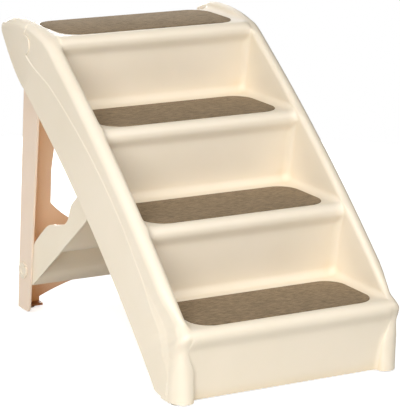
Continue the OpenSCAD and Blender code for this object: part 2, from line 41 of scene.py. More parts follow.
# Sizes in millimetres, the same as the CAD part
size = {
    "run": 152,
    "rise": 125,
    "firstRise": 122,
    "half": 181,
    "noseRadius": 13,
    "noseBlend": 13,
    "nosePull": 10,
    "riserHead": 8,
    "riserFoot": 24,
    "coveRadius": 12,
    "topTread": 152,
    "apron": 30,
    "apronRadius": 7.8,
    "wall": 3,
    "wallFillet": 15,
    "railInner": 8,
    "railOuter": 15,
    "flare": 4,
    "endDrop": 10,
    "railBow": 14,
    "sideDepth": 132,
    "rimBow": 18,
    "postSet": 6,
    "footLength": 48,
    "earRise": 13.5,
    "earReach": 198,
    "earNarrow": 8,
    "base": 3,
    "matWidth": 327,
    "matDepth": 131,
    "matCorner": 35,
    "matSet": 15,
    "hingeSet": 92,
    "hingeDrop": 25,
}
pitch = math.atan2(size["rise"], size["run"])
frontY = -(3 * size["run"] + size["earReach"]) / 2
topZ = size["firstRise"] + 3 * size["rise"]
topNoseY = frontY + 3 * size["run"]
crestX = size["half"] + size["railInner"]
rimX = crestX + size["railOuter"] + size["flare"]
hingeY = topNoseY + size["hingeSet"]
hingeZ = topZ - size["hingeDrop"]


def noseY(k):
    return frontY + (k - 1) * size["run"]


def treadZ(k):
    return size["firstRise"] + (k - 1) * size["rise"]


def mix(a, b, share):
    return a + (b - a) * share


def clamp(value, low=0.0, high=1.0):
    return max(low, min(high, value))


def ease(value):
    value = clamp(value)
    return value * value * (3 - 2 * value)


def table(points, x):
    # Value at x of a line that eases from point to point
    if x <= points[0][0]:
        return points[0][1]
    for (x0, y0), (x1, y1) in zip(points, points[1:]):
        if x <= x1:
            return mix(y0, y1, ease((x - x0) / (x1 - x0)))
    return points[-1][1]


# Colours and shader nodes
def srgb(code):
    parts = [int(code[i : i + 2], 16) / 255 for i in (0, 2, 4)]
    return tuple(p / 12.92 if p <= 0.04045 else ((p + 0.055) / 1.055) ** 2.4 for p in parts) + (1.0,)


def addNode(tree, kind, inputs=None, **settings):
    made = tree.nodes.new(kind)
    for name, value in settings.items():
        setattr(made, name, value)
    for name, value in (inputs or {}).items():
        if isinstance(value, bpy.types.NodeSocket):
            tree.links.new(value, made.inputs[name])
        else:
            made.inputs[name].default_value = value
    return made


def newMaterial(name):
    material = bpy.data.materials.new(name)
    material.use_nodes = True
    tree = material.node_tree
    tree.nodes.clear()
    return material, tree


def finishMaterial(tree, shader):
    out = addNode(tree, "ShaderNodeOutputMaterial")
    tree.links.new(shader.outputs[0], out.inputs["Surface"])


def colourRamp(tree, value, low, high, colourLow, colourHigh):
    ramp = addNode(tree, "ShaderNodeValToRGB", {"Fac": value})
    ramp.color_ramp.elements[0].position = low
    ramp.color_ramp.elements[0].color = colourLow
    ramp.color_ramp.elements[1].position = high
    ramp.color_ramp.elements[1].color = colourHigh
    return ramp.outputs["Color"]


# Spacing of each pattern in millimetres
spacing = {
    "cloud": 111.1,
    "scuff": 38.46,
    "wear": 18.18,
    "dust": 3.846,
    # These three are finer on the real one, and are drawn as coarse as they need to show
    "grain": 1.111,
    "fibre": 2.381,
    "tuft": 1.923,
}


def perMetre(pattern):
    return 1000 / spacing[pattern]


# Injection moulded polypropylene with a fine satin grain, and painted shade that darkens its hollows
def plastic(name, look):
    material, tree = newMaterial(name)
    coords = addNode(tree, "ShaderNodeTexCoord").outputs["Object"]
    cloudScale, grainScale, scuffScale = perMetre("cloud"), perMetre("grain"), perMetre("scuff")
    cloud = addNode(tree, "ShaderNodeTexNoise", {"Vector": coords, "Scale": cloudScale, "Detail": 3.0})
    tones = srgb(look["colour"]), srgb(look["colourHigh"])
    colour = colourRamp(tree, cloud.outputs["Fac"], 0.35, 0.68, *tones)
    # Painted shade: ambient occlusion finds hollows and corners, and there the colour is multiplied
    # towards the hollow colour
    hollow = addNode(tree, "ShaderNodeAmbientOcclusion", {"Distance": look["paintedShadeReach"]}, samples=8)
    tones = srgb(look["hollow"]), (1, 1, 1, 1)
    deep = colourRamp(tree, hollow.outputs["AO"], look["paintedShadeLow"], look["paintedShadeTop"], *tones)
    # Painted shade: only the surfaces between the side flanges take the darkening of the hollows, fading
    # out over 3 mm
    fade = 0.003
    across = addNode(tree, "ShaderNodeSeparateXYZ", {"Vector": coords}).outputs["X"]
    away = addNode(tree, "ShaderNodeMath", {0: across}, operation="ABSOLUTE")
    middle = addNode(
        tree,
        "ShaderNodeMapRange",
        {
            "Value": away.outputs[0],
            "From Min": look["thinTo"],
            "From Max": look["thinTo"] + fade,
            "To Min": 1.0,
            "To Max": 0.0,
        },
    )
    paintedShadeColour = addNode(tree, "ShaderNodeMix", data_type="RGBA", blend_type="MULTIPLY")
    tree.links.new(middle.outputs["Result"], paintedShadeColour.inputs["Factor"])
    tree.links.new(colour, paintedShadeColour.inputs["A"])
    tree.links.new(deep, paintedShadeColour.inputs["B"])
    grain = addNode(tree, "ShaderNodeTexNoise", {"Vector": coords, "Scale": grainScale, "Detail": 2.0})
    scuff = addNode(tree, "ShaderNodeTexNoise", {"Vector": coords, "Scale": scuffScale, "Detail": 4.0})
    rough = addNode(
        tree,
        "ShaderNodeMapRange",
        {
            "Value": scuff.outputs["Fac"],
            "From Min": 0.3,
            "From Max": 0.7,
            "To Min": look["roughLow"],
            "To Max": look["roughHigh"],
        },
    )
    bump = addNode(
        tree,
        "ShaderNodeBump",
        {"Height": grain.outputs["Fac"], "Strength": look["grain"], "Distance": 0.0002},
    )
    shader = addNode(
        tree,
        "ShaderNodeBsdfPrincipled",
        {
            "Base Color": paintedShadeColour.outputs["Result"],
            "Roughness": rough.outputs["Result"],
            "IOR": 1.49,
            "Subsurface Weight": look["glow"],
            "Subsurface Radius": (1.0, 0.7, 0.4),
            "Subsurface Scale": 0.004,
            "Normal": bump.outputs["Normal"],
        },
    )
    through = addNode(tree, "ShaderNodeBsdfTranslucent", {"Color": srgb(look["through"])})
    # The wall between the side flanges is thinner and lets more light through
    wall = addNode(
        tree,
        "ShaderNodeMapRange",
        {"Value": middle.outputs["Result"], "To Min": look["thin"], "To Max": look["thinMiddle"]},
    )
    thin = addNode(tree, "ShaderNodeMixShader", {0: wall.outputs["Result"]})
    tree.links.new(shader.outputs[0], thin.inputs[1])
    tree.links.new(through.outputs[0], thin.inputs[2])
    finishMaterial(tree, thin)
    return material


# Needle-punched carpet of mixed brown and grey fibres
def carpet(name, look):
    material, tree = newMaterial(name)
    coords = addNode(tree, "ShaderNodeTexCoord").outputs["Object"]
    drawn = addNode(tree, "ShaderNodeMapping", {"Vector": coords, "Scale": (0.22, 1.0, 1.0)})
    fibre = addNode(
        tree,
        "ShaderNodeTexNoise",
        {
            "Vector": drawn.outputs["Vector"],
            "Scale": perMetre("fibre"),
            "Detail": 4.0,
            "Roughness": 0.65,
        },
    )
    tuft = addNode(tree, "ShaderNodeTexVoronoi", {"Vector": coords, "Scale": perMetre("tuft")})
    patch = addNode(
        tree, "ShaderNodeTexNoise", {"Vector": coords, "Scale": perMetre("wear"), "Detail": 4.0}
    )
    speck = colourRamp(tree, fibre.outputs["Fac"], 0.32, 0.7, srgb(look["dark"]), srgb(look["light"]))
    tones = srgb(look["wearDark"]), srgb(look["wearLight"])
    wear = colourRamp(tree, patch.outputs["Fac"], 0.35, 0.7, *tones)
    both = addNode(tree, "ShaderNodeMix", {"Factor": 0.35}, data_type="RGBA")
    tree.links.new(speck, both.inputs["A"])
    tree.links.new(wear, both.inputs["B"])
    heights = addNode(
        tree,
        "ShaderNodeMath",
        {0: fibre.outputs["Fac"], 1: tuft.outputs["Distance"]},
        operation="ADD",
    )
    bump = addNode(
        tree,
        "ShaderNodeBump",
        {"Height": heights.outputs[0], "Strength": 0.9, "Distance": 0.0007},
    )
    shader = addNode(
        tree,
        "ShaderNodeBsdfPrincipled",
        {
            "Base Color": both.outputs["Result"],
            "Roughness": 0.95,
            "Sheen Weight": 0.3,
            "Sheen Roughness": 0.6,
            "Sheen Tint": srgb("d2bea0"),
            "Specular IOR Level": 0.2,
            "Normal": bump.outputs["Normal"],
        },
    )
    finishMaterial(tree, shader)
    return material


# Moulded rubber with a dull skin
def rubber(name, look):
    material, tree = newMaterial(name)
    coords = addNode(tree, "ShaderNodeTexCoord").outputs["Object"]
    dust = addNode(
        tree, "ShaderNodeTexNoise", {"Vector": coords, "Scale": perMetre("dust"), "Detail": 4.0}
    )
    tones = srgb(look["colour"]), srgb(look["colourHigh"])
    colour = colourRamp(tree, dust.outputs["Fac"], 0.35, 0.75, *tones)
    bump = addNode(
        tree,
        "ShaderNodeBump",
        {"Height": dust.outputs["Fac"], "Strength": 0.4, "Distance": 0.0003},
    )
    shader = addNode(
        tree,
        "ShaderNodeBsdfPrincipled",
        {"Base Color": colour, "Roughness": 0.75, "IOR": 1.5, "Normal": bump.outputs["Normal"]},
    )
    finishMaterial(tree, shader)
    return material


shellPlastic = plastic(
    "Cream polypropylene, moulded",
    {
        "colour": "e8dcc7",
        "colourHigh": "ebdfcb",
        # Painted shade: a pale warm darkening of the corners along the walls and under the noses
        "hollow": "f4ead6",
        "paintedShadeReach": 0.03,
        "paintedShadeLow": 0.12,
        "paintedShadeTop": 0.8,
        "roughLow": 0.34,
        "roughHigh": 0.44,
        "grain": 0.14,
        "glow": 0.06,
        "through": "f0cf9c",
        "thin": 0.04,
        "thinMiddle": 0.03,
        "thinTo": 0.18,
    },
)
bracePlastic = plastic(
    "Cream polypropylene, thin wall",
    {
        "colour": "eee2cc",
        "colourHigh": "f0e5d0",
        # Painted shade: a warm darkening of the web's crease and the hollows between the arms
        "hollow": "f4dca4",
        "paintedShadeReach": 0.05,
        "paintedShadeLow": 0.25,
        "paintedShadeTop": 0.8,
        "roughLow": 0.36,
        "roughHigh": 0.46,
        "grain": 0.14,
        "glow": 0.06,
        "through": "ffe0a8",
        "thin": 0.08,
        "thinMiddle": 0.12,
        "thinTo": 0.184,
    },
)
legPlastic = plastic(
    "Cream polypropylene, moulded, painted warm glow",
    {
        # Painted light: the base colour is warmer than the shell's, standing in for light glowing
        # through the thin plastic
        "colour": "eedac5",
        "colourHigh": "f0decb",
        # Painted shade: a dark brown darkening of the corner beside each flange, standing in for the
        # flange's shadow on the panel
        "hollow": "8a5220",
        "paintedShadeReach": 0.06,
        "paintedShadeLow": 0.5,
        "paintedShadeTop": 0.92,
        "roughLow": 0.36,
        "roughHigh": 0.46,
        "grain": 0.14,
        "glow": 0.1,
        "through": "ffd6a8",
        "thin": 0.1,
        "thinMiddle": 0.4,
        "thinTo": 0.1885,
    },
)
matCarpet = carpet(
    "Brown carpet, needle punched",
    {"dark": "493b28", "light": "9c8667", "wearDark": "665543", "wearLight": "88745e"},
)
clipRubber = rubber("Black rubber", {"colour": "2c2a27", "colourHigh": "45423e"})
footRubber = rubber("Beige rubber", {"colour": "a09685", "colourHigh": "b3a998"})
print("materials made")


# Shared mesh helpers
def point(x, y, z):
    return Vector((x, y, z)) * 0.001


def gridSurface(bm, rows, cols, place):
    made = bmesh.ops.create_grid(bm, x_segments=cols - 1, y_segments=rows - 1, size=1)["verts"]
    for index, vert in enumerate(made):
        vert.co = place(index // cols, index % cols)
    return made


def toObject(bm, name, materials, body, stands=(), angle=35):
    bmesh.ops.recalc_face_normals(bm, faces=bm.faces[:])
    for face in bm.faces:
        face.smooth = True
    limit = math.radians(angle)
    for edge in bm.edges:
        if len(edge.link_faces) == 2 and edge.calc_face_angle(0) > limit:
            edge.smooth = False
    mesh = bpy.data.meshes.new(name)
    bm.to_mesh(mesh)
    bm.free()
    for material in materials:
        mesh.materials.append(material)
    made = bpy.data.objects.new(name, mesh)
    bpy.context.scene.collection.objects.link(made)
    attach(made, body)
    if stands:
        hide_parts(*stands)
    return made


def bevelled(made, width, segments=3, angle=35):
    edge = made.modifiers.new("Soft edges", "BEVEL")
    edge.limit_method = "ANGLE"
    edge.angle_limit = math.radians(angle)
    edge.width = width
    edge.segments = segments
    edge.harden_normals = True
    return made


# Front post: its crest, and its walls and roundings by height above the floor
post = {
    "set": 0.5,
    "soleRise": 3,
    "soleLean": 1.2,
    "top": 172,
    "reach": 80,
    "soleX": (165, 203),
    "soleY": (-301.5, -275),
    # Millimetres behind the front, millimetres above the first tread, and the mate on the rim
    "crest": [
        (7.6, -62, -0.07),
        (8.6, -48, -0.02),
        (8.4, -36, 0.03),
        (6.2, -26, 0.07),
        (2.2, -17, 0.11),
        (0.9, -10.5, 0.15),
        (3.6, -4.2, 0.2),
        (11.5, 0.9, 0.26),
        (20.5, 6.8, 0.33),
    ],
    "wallX": [(3, 171), (50, 173), (62, 177), (74, 182), (84, 185), (94, 185), (104, 183), (112, 181)],
    "crestX": [(3, 186), (54, 187), (68, 190), (80, 192), (92, 191), (104, 188), (124, 186), (142, 189)],
    "fillet": [(3, 9), (60, 9), (90, 10), (105, 12), (125, 14)],
    "fall": [(3, 26), (56, 27), (88, 30), (108, 26), (130, 20), (150, 15)],
    "shoulder": [
        (3, 206.5),
        (60, 206),
        (88, 204),
        (102, 205),
        (112, 204.5),
        (121, 201),
        (131, 197.5),
        (142, 199),
        (162, 203),
        (172, 204),
    ],
}


# Ear: its control points, as shares of its reach and of the side's depth or millimetres from the tip
ear = {
    "peakBack": 0.385,
    "frontPull": 0.24,
    "rearPull": 0.18,
    "rimBack": 0.485,
    "rimDrop": 0.74,
    "crown": (8, 15),
    "tip": (6, 31),
}


# Side wall stations: a point on the crest, its mate on the rim, and how far along the ear it is
def pitchPoint(u, out):
    return Vector(
        (
            frontY + u * size["run"] - out * math.sin(pitch),
            size["firstRise"] + u * size["rise"] + out * math.cos(pitch),
        )
    )


def bow(u):
    return 4 * (u / 3) * (1 - u / 3)


def railPoint(u):
    return pitchPoint(u, size["railBow"] * bow(u) - size["endDrop"])


def rimPoint(u):
    return pitchPoint(u, size["rimBow"] * bow(u) - size["sideDepth"])


def bezier(a, b, c, v):
    return a * (1 - v) ** 2 + b * 2 * v * (1 - v) + c * v * v


def wallStations():
    first = size["firstRise"]
    foot = frontY + size["postSet"]
    front = foot + post["set"]
    low = size["base"]
    tipY = frontY + 3 * size["run"] + size["earReach"]
    earZ = topZ + size["earRise"]
    reach = size["earReach"]
    depth = size["sideDepth"]
    peak = Vector((tipY - ear["peakBack"] * reach, earZ))
    crown = Vector((tipY - ear["crown"][0], earZ - ear["crown"][1]))
    start = railPoint(3)
    frontCtrl = Vector((start.x + ear["frontPull"] * reach, earZ))
    rearCtrl = Vector((tipY - ear["rearPull"] * reach, earZ))
    rimA = rimPoint(3)
    rimB = Vector((tipY - ear["rimBack"] * depth, earZ - ear["rimDrop"] * depth))
    rimC = Vector((tipY - ear["tip"][0], earZ - ear["tip"][1]))
    heel = foot + size["footLength"]
    upper = low + post["soleRise"]
    found = [
        (Vector((front, low)), Vector((heel, low)), 0),
        (Vector((front, upper)), Vector((heel - post["soleLean"], upper)), 0),
    ]
    for backward, upward, u in post["crest"]:
        found.append((Vector((frontY + backward, first + upward)), rimPoint(u), 0))
    railShares = [0.085, 0.16, 0.28, 0.4, 0.53, 0.66, 0.78, 0.9]
    rimShares = [0.14, 0.2, 0.3, 0.41, 0.53, 0.66, 0.78, 0.9]
    for a, b in zip(railShares, rimShares):
        found.append((railPoint(3 * a), rimPoint(3 * b), 0))
    crest = [bezier(start, frontCtrl, peak, v) for v in (0, 0.25, 0.5, 0.75)]
    crest += [bezier(peak, rearCtrl, crown, v) for v in (0, 0.35, 0.65, 0.88, 1)]
    for c, v in zip(crest, [0, 0.13, 0.26, 0.39, 0.52, 0.66, 0.79, 0.92, 1]):
        found.append((c, bezier(rimA, rimB, rimC, v), v))
    return found


stations = wallStations()
lastStation = len(stations) - 1


def spline(get, w):
    # Smooth line through the stations, at place w along them
    i = min(int(w), lastStation - 1)
    t = w - i
    p0, p1 = get(stations[max(0, i - 1)]), get(stations[i])
    p2, p3 = get(stations[i + 1]), get(stations[min(lastStation, i + 2)])
    bend = 2 * p0 - 5 * p1 + 4 * p2 - p3
    twist = 3 * p1 - p0 - 3 * p2 + p3
    return 0.5 * (2 * p1 + (p2 - p0) * t + bend * t**2 + twist * t**3)


def crestAt(w):
    return spline(lambda s: s[0], w)


def rimAt(w):
    return spline(lambda s: s[1], w)


crestLine = [(i / 8, crestAt(i / 8)) for i in range(lastStation * 8 + 1)]


def crestHit(p, angle):
    # Place on the crest met by the line from p that goes forwards and rises by the angle
    way = Vector((-math.cos(angle), math.sin(angle)))

    def side(q):
        return way.x * (q.y - p.y) - way.y * (q.x - p.x)

    best = None
    for (w0, c0), (w1, c1) in zip(crestLine, crestLine[1:]):
        s0, s1 = side(c0), side(c1)
        if (s0 <= 0) != (s1 <= 0):
            w = mix(w0, w1, s0 / (s0 - s1))
            reach = (crestAt(w) - p).dot(way)
            if best is None or abs(reach) < abs(best[1]):
                best = (w, reach)
    return best


# Profile of the steps from the floor to the rear apron, as points of depth and height
def arcPoints(centre, radius, start, end, count):
    found = []
    for i in range(count + 1):
        a = math.radians(mix(start, end, i / count))
        found.append(Vector((centre.x + radius * math.cos(a), centre.y + radius * math.sin(a))))
    return found


def cubic(a, b, c, d, t):
    return a * (1 - t) ** 3 + b * 3 * t * (1 - t) ** 2 + c * 3 * t * t * (1 - t) + d * t**3


def stepsProfile():
    nr = size["noseRadius"]
    low = nr + math.sqrt(nr * nr - (nr - size["riserHead"]) ** 2)
    lean = math.atan2(size["riserFoot"] - size["riserHead"], size["rise"] - low)
    cove = size["coveRadius"]
    path = []
    for k in range(1, 5):
        corner = Vector((noseY(k), treadZ(k)))
        footZ = size["base"] if k == 1 else treadZ(k - 1)
        foot = Vector((noseY(k) + size["riserFoot"], footZ))
        head = corner + Vector((size["riserHead"], -low))
        up = (head - foot).normalized()
        start = foot
        if k > 1:
            centre = foot + Vector((-cove / math.tan(math.radians(45) - lean / 2), cove))
            path += arcPoints(centre, cove, -90, math.degrees(lean), 9)
            start = path.pop()
        blendFrom = head - up * size["noseBlend"]
        pull = size["nosePull"]
        for i in range(12):
            path.append(start.lerp(blendFrom, i / 12))
        front = corner + Vector((0, -nr))
        for i in range(8):
            path.append(cubic(blendFrom, blendFrom + up * pull, front - Vector((0, pull)), front, i / 8))
        path += arcPoints(corner + Vector((nr, -nr)), nr, 180, 90, 9)
        treadFrom = path[-1]
        if k < 4:
            nextFoot = Vector((noseY(k + 1) + size["riserFoot"], treadZ(k)))
            treadTo = nextFoot - Vector((cove / math.tan(math.radians(45) - lean / 2), 0))
            count = 16
        else:
            treadTo = Vector((topNoseY + size["topTread"] - size["apronRadius"], topZ))
            count = 22
        shares = [i / count for i in range(1, count)]
        if k == 4:
            # Close rows where the soft line turns upwards on the ear
            shares = sorted(shares + [mix(0.5, 0.68, i / 25) + 0.002 for i in range(26)])
        for share in shares:
            path.append(treadFrom.lerp(treadTo, share))
    radius = size["apronRadius"]
    apron = Vector((topNoseY + size["topTread"] - radius, topZ - radius))
    path += arcPoints(apron, radius, 90, 0, 8)
    for i in range(1, 5):
        path.append(Vector((apron.x + radius, mix(topZ - radius, topZ - size["apron"], i / 4))))
    return path


# Ribs from the profile to the crest: how steeply they rise, in degrees, and where that changes
ribs = {
    "post": [(3, 0), (70, 2), (122, 40)],
    "postDepth": 40,
    "steps": 40,
    "ear": 122,
    "earFrom": 10,
    "earPower": 1.2,
    "apron": (124, 142.5),
    "apronFrom": 7,
}


def ribAngle(p):
    if p.y < size["firstRise"] + 1 and p.x < frontY + ribs["postDepth"]:
        return math.radians(table(ribs["post"], p.y))
    if p.y > topZ - size["apron"] - 5 and p.x > topNoseY + ribs["earFrom"]:
        rear = topNoseY + size["topTread"]
        if p.x < rear - 0.1:
            share = clamp((p.x - topNoseY - ribs["earFrom"]) / (size["topTread"] - ribs["earFrom"]))
            return math.radians(mix(ribs["steps"], ribs["ear"], share ** ribs["earPower"]))
        share = clamp((topZ - ribs["apronFrom"] - p.y) / (size["apron"] - ribs["apronFrom"]))
        return math.radians(mix(*ribs["apron"], share))
    return math.radians(ribs["steps"])


# The two soft steps on the outer wall: a bow below the nosing line, and its turn up behind the hinge
crease = {
    "top": -25,
    "middle": 1.4,
    "bendUp": 17.2,
    "bendDown": 25.5,
    "apart": 16,
    "joinAt": 0.85,
    "joinOver": 0.7,
    "secondRange": (0.06, 0.9),
    "firstRange": (0.02, 0.93),
    "joined": 0.35,
    "height": 0.6,
    "earHeight": 1.3,
    "wide": 1.3,
    "upTo": 2.75,
    "fullFrom": 120,
    "fullOver": 60,
    "tipFrom": 218,
    "tipOver": 2,
    "fadeOver": 9,
    "ear": [
        (172, 438),
        (191, 445),
        (206, 451),
        (218, 457),
        (224, 463),
        (227, 470),
        (228, 483),
        (227, 497),
        (225, 505),
        (220, 513),
    ],
}


def creaseLine(second):
    found = []
    for i in range(70):
        u = mix(-0.45, crease["upTo"], i / 69)
        bend = crease["bendUp"] if u > crease["middle"] else crease["bendDown"]
        out = crease["top"] - bend * (u - crease["middle"]) ** 2
        if second:
            out += ease((crease["joinAt"] - u) / crease["joinOver"]) * crease["apart"]
        found.append(pitchPoint(u, out))
    return found + [Vector(q) for q in crease["ear"]]


creaseLines = (creaseLine(False), creaseLine(True))


def creaseShare(c, r, line):
    # Share of the way from crest to rim at which the section meets a crease line
    way = r - c
    best = None
    for a, b in zip(line, line[1:]):
        sa = way.x * (a.y - c.y) - way.y * (a.x - c.x)
        sb = way.x * (b.y - c.y) - way.y * (b.x - c.x)
        if (sa <= 0) != (sb <= 0):
            q = a.lerp(b, sa / (sa - sb))
            share = (q - c).dot(way) / way.length_squared
            if 0 <= share <= 1 and (best is None or share < best):
                best = share
    return 0.0 if best is None else best


# Columns of half a section
flatCols = 9
filletCols = 8
wallCols = 4
innerCols = 6
outerCols = 8

# How the flat's columns crowd to the wall, and how the outer rounding gives way where a wall is low
section = {"crowding": 0.8, "earNarrowing": 0.6, "deepest": 0.72, "lowWall": 0.25}


def sectionAt(p, angle):
    # Points of half a section, from the middle over the rail to the rim
    w, reach = crestHit(p, angle)
    c = crestAt(w)
    r = rimAt(w)
    narrow = size["earNarrow"] * clamp(spline(lambda s: s[2], w))
    inPost = c.y < post["top"] and c.x < frontY + post["reach"]
    rear = ease((c.x - crease["tipFrom"]) / crease["tipOver"])
    wallX = table(post["wallX"], p.y) if inPost else size["half"]
    topX = table(post["crestX"], c.y) if inPost else crestX
    fillet = table(post["fillet"], p.y) if inPost else size["wallFillet"]
    depth = (r - c).length
    fall = min(1.0, depth / size["sideDepth"] / section["lowWall"])
    plainShoulder = crestX + size["railOuter"] - narrow * section["earNarrowing"]
    shoulder = table(post["shoulder"], c.y) if inPost else plainShoulder
    rounding = table(post["fall"], c.y) if inPost else size["railOuter"]
    drop = min(section["deepest"] * depth, rounding * fall)
    rim = rimX - narrow
    inner = topX - wallX
    squeeze = clamp(abs(reach) / (fillet + inner), 0, 1) * (1 if reach >= 0 else -1)
    rib = (c - p).normalized() if (c - p).length > 1e-6 else Vector((0, 1))
    if reach < 0:
        rib = -rib
    points = []
    for i in range(flatCols):
        points.append((mix(0, wallX - fillet, (i / flatCols) ** section["crowding"]), p))
    for i in range(filletCols):
        a = math.pi / 2 * i / filletCols
        rise = fillet * (1 - math.cos(a)) * squeeze
        points.append((wallX - fillet + fillet * math.sin(a), p + rib * rise))
    wallFrom = fillet * squeeze
    wallTo = reach - inner * squeeze
    for i in range(wallCols):
        points.append((wallX, p + rib * mix(wallFrom, wallTo, i / wallCols)))
    for i in range(innerCols):
        a = math.pi / 2 * i / innerCols
        points.append((topX - inner * math.cos(a), p + rib * (wallTo + inner * squeeze * math.sin(a))))
    out = (r - c).normalized()
    start = drop / depth
    first, second = (creaseShare(c, r, line) for line in creaseLines)
    second = clamp(second, start + crease["secondRange"][0], crease["secondRange"][1])
    first = clamp(first, second + crease["firstRange"][0], crease["firstRange"][1])
    step = crease["wide"] / depth
    onEar = ease((c.x - crease["fullFrom"]) / crease["fullOver"])
    height = mix(crease["height"], crease["earHeight"], onEar)
    apart = (first - second) * depth / crease["fadeOver"]
    heights = (height * ease(apart - crease["joined"]), height)
    raised = sum(heights)
    for i in range(outerCols):
        a = math.pi / 2 * i / outerCols
        x = topX + (shoulder + raised * rear - topX) * math.sin(a)
        points.append((x, c + out * drop * (1 - math.cos(a))))
    shares = [start + (second - start) * i / 3 for i in range(3)]
    shares += [second - step, second + step * 0.2, second + step]
    shares += [max(second + step * 1.6, first - step), first + step * 0.2, first + step]
    shares += [mix(first + step * 1.5, 1, i / 4) for i in range(5)]
    for share in shares:
        base = mix(shoulder, rim - raised, (share - start) / (1 - start))
        lift = sum(h * ease((share - q + step) / (2 * step)) for h, q in zip(heights, (second, first)))
        points.append((base + mix(lift, raised, rear), c.lerp(r, share)))
    return points


def stairShell():
    path = stepsProfile()
    sections = [sectionAt(p, ribAngle(p)) for p in path]
    half = len(sections[0])
    cols = 2 * half - 1
    outerFrom = flatCols + filletCols + wallCols + innerCols
    bm = bmesh.new()

    def place(row, col):
        index = abs(col - half + 1)
        x, p = sections[row][index]
        side = 1 if col >= half - 1 else -1
        return point(side * x, p.x, p.y)

    gridSurface(bm, len(path), cols, place)

    # Rear end of each ear, closed back to the inner wall
    tip = sections[-1][outerFrom:]
    inner = []
    for x, p in tip:
        down = clamp((p - tip[0][1]).length / size["railInner"])
        inner.append((crestX - size["railInner"] * math.sqrt(1 - (1 - down) ** 2) + 0.4 * down, p))
    for side in (-1, 1):

        def placeTip(row, col, side=side):
            (x0, p), (x1, _) = tip[col], inner[col]
            return point(side * mix(x0, x1, row / 5), p.x, p.y)

        gridSurface(bm, 6, len(tip), placeTip)

    # Sole of each front post
    sole = sections[0][flatCols:]
    for side in (-1, 1):

        def placeSole(row, col, side=side):
            x0, p = sole[col]
            share = col / (len(sole) - 1)
            x1, y1 = mix(*post["soleX"], share), mix(*post["soleY"], share)
            return point(side * mix(x0, x1, row / 3), mix(p.x, y1, row / 3), p.y)

        gridSurface(bm, 4, len(sole), placeSole)
    bmesh.ops.remove_doubles(bm, verts=bm.verts[:], dist=0.00004)
    made = toObject(bm, "stair_shell", [shellPlastic], "stairs", ["stair_body"], angle=50)
    thick = made.modifiers.new("Wall", "SOLIDIFY")
    thick.thickness = size["wall"] * 0.001
    thick.offset = -1
    recess = made.modifiers.new("Recesses", "BOOLEAN")
    recess.operation = "DIFFERENCE"
    recess.solver = "MANIFOLD"
    recess.object = cutters()
    bevelled(made, 0.0008, 2, 50)
    print("stair shell:", len(made.data.polygons), "faces")
    return made


# Shapes sunk into the shell: four mat beds and the two round hinge seats
seat = {
    "bed": 1.2,
    "gap": 0.5,
    "radius": 17.2,
    "flare": 2.2,
    "floorX": 202.4,
    "wallX": 206.6,
    "outX": 215.0,
}


def roundedPlate(bm, wide, deep, corner, low, high, centreY):
    made = bmesh.ops.create_grid(bm, x_segments=1, y_segments=1, size=0.5)["verts"]
    bmesh.ops.scale(bm, vec=(wide * 0.001, deep * 0.001, 1), verts=made)
    bmesh.ops.translate(bm, vec=point(0, centreY, low), verts=made)
    before = set(bm.verts) - set(made)
    bmesh.ops.bevel(bm, geom=made, affect="VERTICES", offset=corner * 0.001, segments=14, profile=0.5)
    face = [f for f in bm.faces if not any(v in before for v in f.verts)]
    grown = bmesh.ops.extrude_face_region(bm, geom=face)["geom"]
    raised = [v for v in grown if isinstance(v, bmesh.types.BMVert)]
    bmesh.ops.translate(bm, vec=point(0, 0, high - low), verts=raised)
    return raised


def cutters():
    bm = bmesh.new()
    for k in range(1, 5):
        wide = size["matWidth"] + 2 * seat["gap"]
        deep = size["matDepth"] + 2 * seat["gap"]
        middle = noseY(k) + size["matSet"] + size["matDepth"] / 2
        corner = size["matCorner"] + seat["gap"]
        roundedPlate(bm, wide, deep, corner, treadZ(k) - seat["bed"], treadZ(k) + 2, middle)
    flare = seat["flare"]
    for side in (-1, 1):
        outline = [(seat["floorX"], 0.0), (seat["floorX"], seat["radius"])]
        for i in range(7):
            a = math.pi / 2 * i / 6
            r = seat["radius"] + flare * (1 - math.cos(a))
            outline.append((seat["wallX"] - flare + flare * math.sin(a), r))
        outline += [(seat["outX"], seat["radius"] + flare), (seat["outX"], 0.0)]
        ring = [bm.verts.new(point(side * x, hingeY + r, hingeZ)) for x, r in outline]
        edges = [bm.edges.new(pair) for pair in zip(ring, ring[1:])]
        bmesh.ops.spin(
            bm,
            geom=ring + edges,
            cent=point(0, hingeY, hingeZ),
            axis=(1, 0, 0),
            dvec=(0, 0, 0),
            angle=math.tau,
            steps=64,
            use_merge=True,
        )
    bmesh.ops.remove_doubles(bm, verts=bm.verts[:], dist=0.00001)
    bmesh.ops.recalc_face_normals(bm, faces=bm.faces[:])
    for face in bm.faces:
        face.smooth = True
    for edge in bm.edges:
        if len(edge.link_faces) == 2 and edge.calc_face_angle(0) > math.radians(40):
            edge.smooth = False
    mesh = bpy.data.meshes.new("Cutters")
    bm.to_mesh(mesh)
    bm.free()
    mesh.materials.append(shellPlastic)
    made = bpy.data.objects.new("Cutters", mesh)
    bpy.context.scene.collection.objects.link(made)
    made.hide_render = True
    made.hide_viewport = True
    return made


stairShell()


# Tread mats
matLook = {"thick": 2.4, "edge": 0.9}
for k in range(1, 5):
    bm = bmesh.new()
    low = treadZ(k) - seat["bed"]
    middle = noseY(k) + size["matSet"] + size["matDepth"] / 2
    raised = roundedPlate(
        bm, size["matWidth"], size["matDepth"], size["matCorner"], low, low + matLook["thick"], middle
    )
    rimEdges = [e for e in bm.edges if all(v in raised for v in e.verts)]
    bmesh.ops.bevel(
        bm,
        geom=rimEdges,
        affect="EDGES",
        offset=matLook["edge"] * 0.001,
        segments=3,
        profile=0.5,
        material=-1,
    )
    mat = toObject(bm, f"tread_carpet_{k}", [matCarpet], "stairs", [f"tread_mat_{k}"])
print("mats laid")


